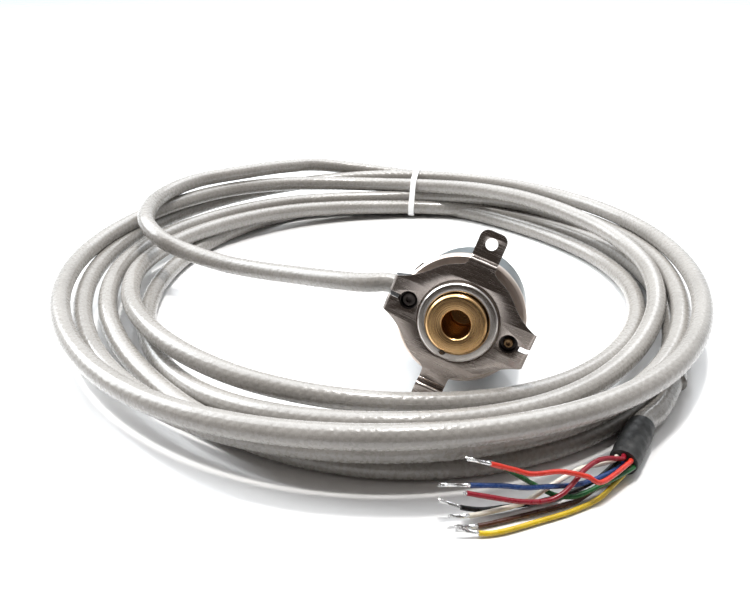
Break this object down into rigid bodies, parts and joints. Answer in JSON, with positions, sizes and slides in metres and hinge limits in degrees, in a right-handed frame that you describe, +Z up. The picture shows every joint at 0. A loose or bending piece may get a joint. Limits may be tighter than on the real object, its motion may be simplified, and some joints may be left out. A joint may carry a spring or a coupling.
{
  "type": "rotary encoder",
  "caption": "Miniature blind hollow-shaft rotary encoder on a spring-steel stator coupling, with a coiled grey cable and stripped wire ends",
  "frame": {"origin": "on the surface the encoder lies on, under the middle of the encoder's own box without its cable", "axes": "+Z up; -Y is the side the hub points to, turned 14.7 degrees towards -X and 15 degrees up; the cable coil lies behind, centred 22 mm to -X and 54 mm to +Y"},
  "size_m": [0.224, 0.233, 0.0482],
  "materials": {
    "flange_aluminium": "satin",
    "cover_aluminium": "satin",
    "dark_screw": "satin",
    "gilt_screw": "satin",
    "black_rubber": "matte",
    "hub_brass": "brushed",
    "ring_steel": "satin",
    "spring_steel": "brushed",
    "bearing_steel": "polished",
    "disc_glass": "clear",
    "black_plastic": "matte",
    "lens_plastic": "clear",
    "circuit_board": "satin",
    "white_plastic": "gloss",
    "inner_wire_jacket": "matte",
    "cable_jacket": "satin gloss",
    "heat_shrink_sleeve": "matte",
    "insulation_red": "gloss",
    "insulation_green": "gloss",
    "insulation_blue": "gloss",
    "insulation_crimson": "gloss",
    "insulation_white": "gloss",
    "insulation_brown": "gloss",
    "insulation_black": "gloss",
    "insulation_yellow": "gloss"
  },
  "bodies": {
    "stator": {"flange_body": "flange_aluminium", "rear_cap": "cover_aluminium", "cover_screw_1": "dark_screw", "cover_screw_2": "dark_screw", "cover_screw_3": "dark_screw", "cap_seal": "black_rubber", "stator_coupling": "spring_steel", "coupling_spacer_right": "dark_screw", "coupling_spacer_left": "dark_screw", "coupling_screw_right": "gilt_screw", "coupling_screw_left": "dark_screw", "lamp_holder": "black_plastic", "lamp": "lens_plastic", "condenser_lens": "lens_plastic", "scanning_reticle": "disc_glass", "photodiode_array": "black_plastic", "main_board": "circuit_board", "signal_chip": "black_plastic", "driver_chip": "black_plastic", "wire_connector": "white_plastic", "cable_grommet": "black_rubber", "crimp_ferrule": "bearing_steel", "inner_wires": "inner_wire_jacket", "cable_lead": "cable_jacket", "cable_coil": "cable_jacket", "cable_end": "cable_jacket", "cable_tie": "white_plastic", "heat_shrink": "heat_shrink_sleeve", "board_pillar_1": "hub_brass", "board_screw_1": "dark_screw", "board_pillar_2": "hub_brass", "board_screw_2": "dark_screw", "board_pillar_3": "hub_brass", "board_screw_3": "dark_screw", "front_bearing_outer_ring": "bearing_steel", "rear_bearing_outer_ring": "bearing_steel", "wire_red": "insulation_red", "wire_green": "insulation_green", "wire_blue": "insulation_blue", "wire_crimson": "insulation_crimson", "wire_white": "insulation_white", "wire_brown": "insulation_brown", "wire_black": "insulation_black", "wire_yellow": "insulation_yellow"},
    "rotor": {"hub_shaft": "hub_brass", "clamp_ring": "ring_steel", "grub_screw_1": "dark_screw", "grub_screw_2": "dark_screw", "front_bearing_inner_ring": "bearing_steel", "rear_bearing_inner_ring": "bearing_steel", "bearing_spacer": "ring_steel", "retaining_ring": "dark_screw", "disc_hub": "hub_brass", "code_disc": "disc_glass"},
    "front_cage": {"front_bearing_balls": "bearing_steel"},
    "rear_cage": {"rear_bearing_balls": "bearing_steel"}
  },
  "joints": [
    {"name": "shaft_spin", "type": "hinge", "parent": "stator", "child": "rotor", "pos_m": [-0.00039, -0.00771, 0.02299], "axis": [-0.2451, -0.9343, 0.2588], "continuous": true},
    {"name": "front_cage_spin", "type": "hinge", "parent": "stator", "child": "front_cage", "pos_m": [0.00026, -0.00523, 0.0223], "axis": [-0.2451, -0.9343, 0.2588], "continuous": true},
    {"name": "rear_cage_spin", "type": "hinge", "parent": "stator", "child": "rear_cage", "pos_m": [0.00202, 0.00149, 0.02044], "axis": [-0.2451, -0.9343, 0.2588], "continuous": true}
  ],
  "couplings": [
    {"joint": "front_cage_spin", "follows": "shaft_spin", "ratio": 0.467},
    {"joint": "rear_cage_spin", "follows": "shaft_spin", "ratio": 0.467}
  ]
}
